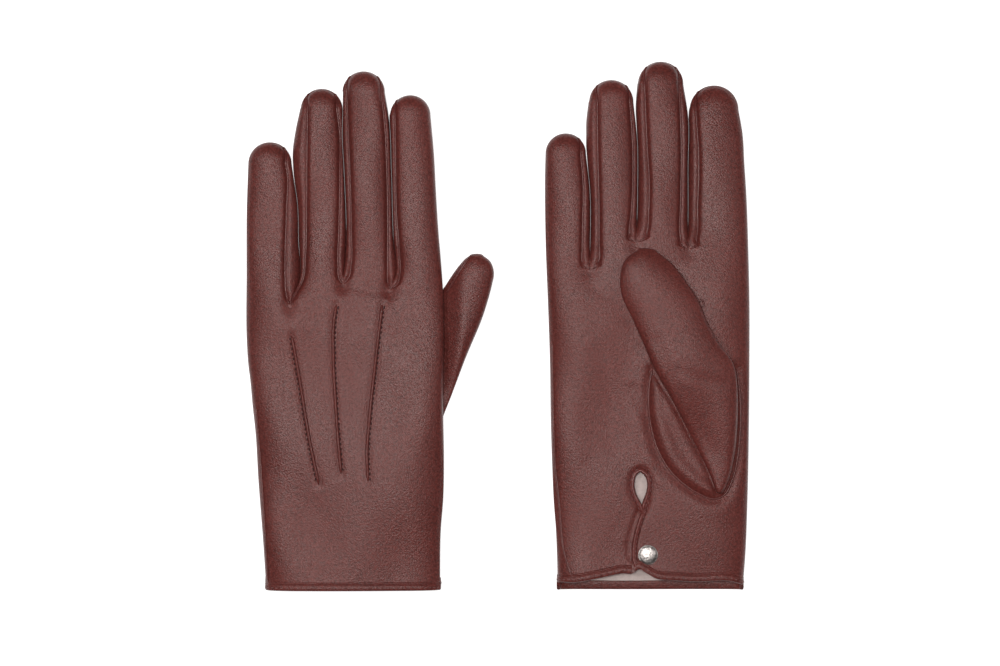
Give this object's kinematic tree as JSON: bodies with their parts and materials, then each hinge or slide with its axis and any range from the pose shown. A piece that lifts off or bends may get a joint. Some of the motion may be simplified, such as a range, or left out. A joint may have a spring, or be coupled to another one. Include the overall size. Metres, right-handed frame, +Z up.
{
  "type": "pair of leather gloves",
  "caption": "Pair of men's brown leather dress gloves laid flat, one palm down and one palm up, with points on the back, a lined palm vent and a snap.",
  "frame": {"origin": "middle of the pair on the table that it lies on, under the centre of its bounding box", "axes": "+Z up from the table, +Y from the wrists to the fingertips, +X from the left glove to the right glove"},
  "size_m": [0.239, 0.2503, 0.0212],
  "materials": {
    "leather": "semi-matt brown lambskin with a fine grain and a soft greyish sheen",
    "leather_binding": "the same leather, folded narrow and stitched",
    "lining": "soft greyish beige knit with a short nap",
    "snap_metal": "polished nickel"
  },
  "bodies": {
    "left_glove": {"left_trank_hand": "leather", "left_cuff_hem": "leather", "left_thumb_base": "leather", "left_underflap": "leather", "left_keyhole_binding": "leather_binding", "left_index_point": "leather", "left_middle_point": "leather", "left_little_point": "leather", "left_hand_lining": "lining", "left_snap_stud": "snap_metal"},
    "left_flap": {"left_vent_flap": "leather", "left_flap_binding": "leather_binding", "left_snap_cap": "snap_metal", "left_snap_socket": "snap_metal"},
    "left_little_finger": {"left_little_leather": "leather", "left_little_fourchette_ring_side": "leather", "left_little_lining": "lining"},
    "left_ring_finger": {"left_ring_leather": "leather", "left_ring_fourchette_little_side": "leather", "left_ring_fourchette_middle_side": "leather", "left_ring_lining": "lining"},
    "left_middle_finger": {"left_middle_leather": "leather", "left_middle_fourchette_ring_side": "leather", "left_middle_fourchette_index_side": "leather", "left_middle_lining": "lining"},
    "left_index_finger": {"left_index_leather": "leather", "left_index_fourchette_middle_side": "leather", "left_index_lining": "lining"},
    "left_thumb": {"left_thumb_leather": "leather", "left_thumb_lining": "lining"},
    "right_glove": {"right_trank_hand": "leather", "right_cuff_hem": "leather", "right_thumb_base": "leather", "right_underflap": "leather", "right_keyhole_binding": "leather_binding", "right_index_point": "leather", "right_middle_point": "leather", "right_little_point": "leather", "right_hand_lining": "lining", "right_snap_stud": "snap_metal"},
    "right_flap": {"right_vent_flap": "leather", "right_flap_binding": "leather_binding", "right_snap_cap": "snap_metal", "right_snap_socket": "snap_metal"},
    "right_little_finger": {"right_little_leather": "leather", "right_little_fourchette_ring_side": "leather", "right_little_lining": "lining"},
    "right_ring_finger": {"right_ring_leather": "leather", "right_ring_fourchette_little_side": "leather", "right_ring_fourchette_middle_side": "leather", "right_ring_lining": "lining"},
    "right_middle_finger": {"right_middle_leather": "leather", "right_middle_fourchette_ring_side": "leather", "right_middle_fourchette_index_side": "leather", "right_middle_lining": "lining"},
    "right_index_finger": {"right_index_leather": "leather", "right_index_fourchette_middle_side": "leather", "right_index_lining": "lining"},
    "right_thumb": {"right_thumb_leather": "leather", "right_thumb_lining": "lining"}
  },
  "joints": [
    {"name": "gloves_drawn_apart", "type": "slide", "parent": "left_glove", "child": "right_glove", "axis": [1, 0, 0], "range_m": [0, 0.08]},
    {"name": "left_flap_fold", "type": "hinge", "parent": "left_glove", "child": "left_flap", "pos_m": [-0.06295, -0.1061, 0], "axis": [0.4767, -0.8791, 0], "range_deg": [0, 70]},
    {"name": "left_little_fold", "type": "hinge", "parent": "left_glove", "child": "left_little_finger", "pos_m": [-0.1073, 0.0308, 0.011], "axis": [1, 0, 0], "range_deg": [0, 45]},
    {"name": "left_ring_fold", "type": "hinge", "parent": "left_glove", "child": "left_ring_finger", "pos_m": [-0.0834, 0.0428, 0.011], "axis": [1, 0, 0], "range_deg": [0, 45]},
    {"name": "left_middle_fold", "type": "hinge", "parent": "left_glove", "child": "left_middle_finger", "pos_m": [-0.06075, 0.0438, 0.011], "axis": [1, 0, 0], "range_deg": [0, 45]},
    {"name": "left_index_fold", "type": "hinge", "parent": "left_glove", "child": "left_index_finger", "pos_m": [-0.0386, 0.0408, 0.011], "axis": [1, 0, 0], "range_deg": [0, 45]},
    {"name": "left_thumb_fold", "type": "hinge", "parent": "left_glove", "child": "left_thumb", "pos_m": [-0.0251, -0.0122, 0.0088], "axis": [0, -1, 0], "range_deg": [0, 40]},
    {"name": "right_flap_fold", "type": "hinge", "parent": "right_glove", "child": "right_flap", "pos_m": [0.08195, -0.1061, 0.012], "axis": [-0.4767, 0.8791, 0], "range_deg": [0, 70]},
    {"name": "right_little_fold", "type": "hinge", "parent": "right_glove", "child": "right_little_finger", "pos_m": [0.033, 0.0348, 0.011], "axis": [1, 0, 0], "range_deg": [0, 80]},
    {"name": "right_ring_fold", "type": "hinge", "parent": "right_glove", "child": "right_ring_finger", "pos_m": [0.0549, 0.0468, 0.011], "axis": [1, 0, 0], "range_deg": [0, 80]},
    {"name": "right_middle_fold", "type": "hinge", "parent": "right_glove", "child": "right_middle_finger", "pos_m": [0.07825, 0.0478, 0.011], "axis": [1, 0, 0], "range_deg": [0, 80]},
    {"name": "right_index_fold", "type": "hinge", "parent": "right_glove", "child": "right_index_finger", "pos_m": [0.10435, 0.0448, 0.011], "axis": [1, 0, 0], "range_deg": [0, 80]},
    {"name": "right_thumb_fold", "type": "hinge", "parent": "right_glove", "child": "right_thumb", "pos_m": [0.088, -0.0141, 0.0212], "axis": [0.9339, 0.3576, 0], "range_deg": [0, 70]}
  ]
}
